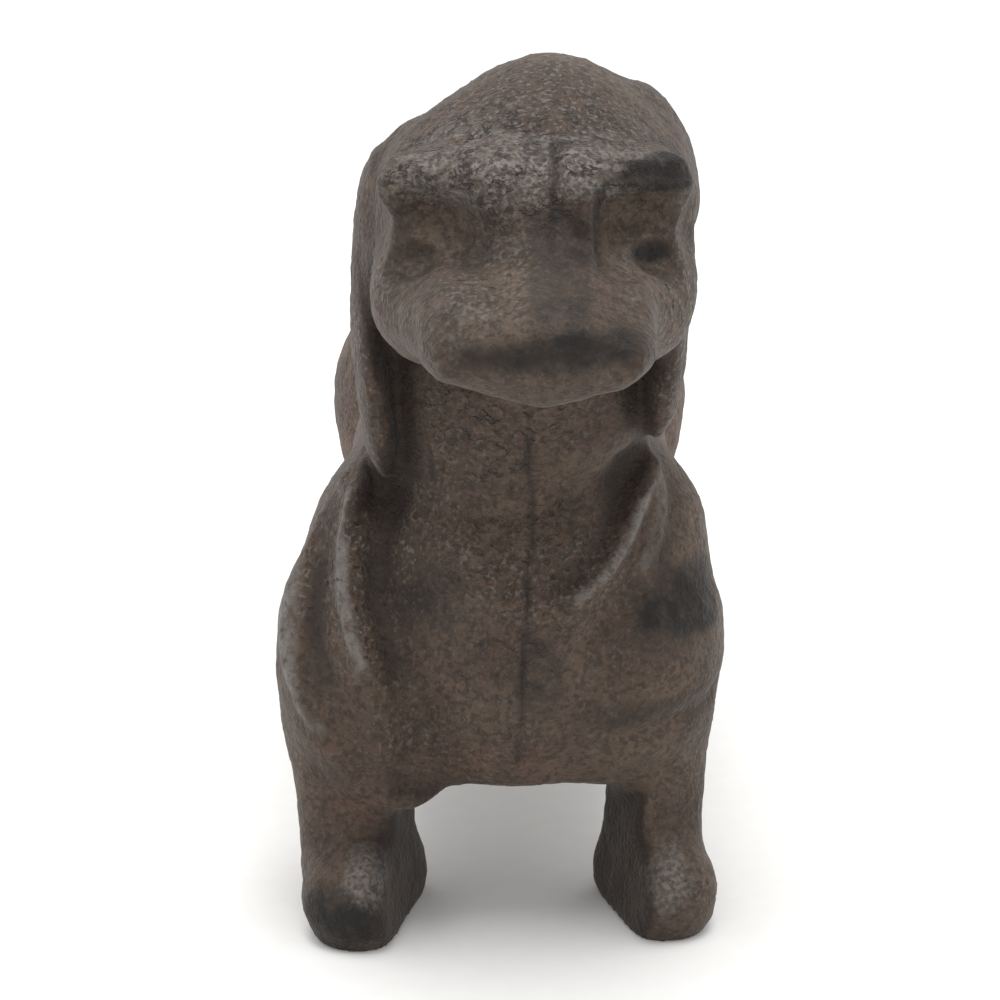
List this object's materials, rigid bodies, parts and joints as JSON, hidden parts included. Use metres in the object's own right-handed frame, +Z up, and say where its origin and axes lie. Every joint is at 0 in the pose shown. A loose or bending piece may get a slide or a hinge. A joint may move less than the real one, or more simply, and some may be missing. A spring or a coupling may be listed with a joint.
{
  "type": "dog figurine",
  "caption": "Cast-iron figurine of a standing short-legged hound with drop ears, a broad muzzle, a long level back and a drooping tail.",
  "frame": {"origin": "on the ground, at the middle of the figurine's footprint box", "axes": "+Z up, -Y the way the dog looks, -X the dog's right side"},
  "size_m": [0.0512, 0.1914, 0.1001],
  "materials": {
    "cast_iron": "sand-cast skin with a worn brown-grey patina, matt in the hollows and rubbed smooth and greyer on the brows"
  },
  "bodies": {
    "root": {"dog": "cast_iron"}
  },
  "joints": []
}
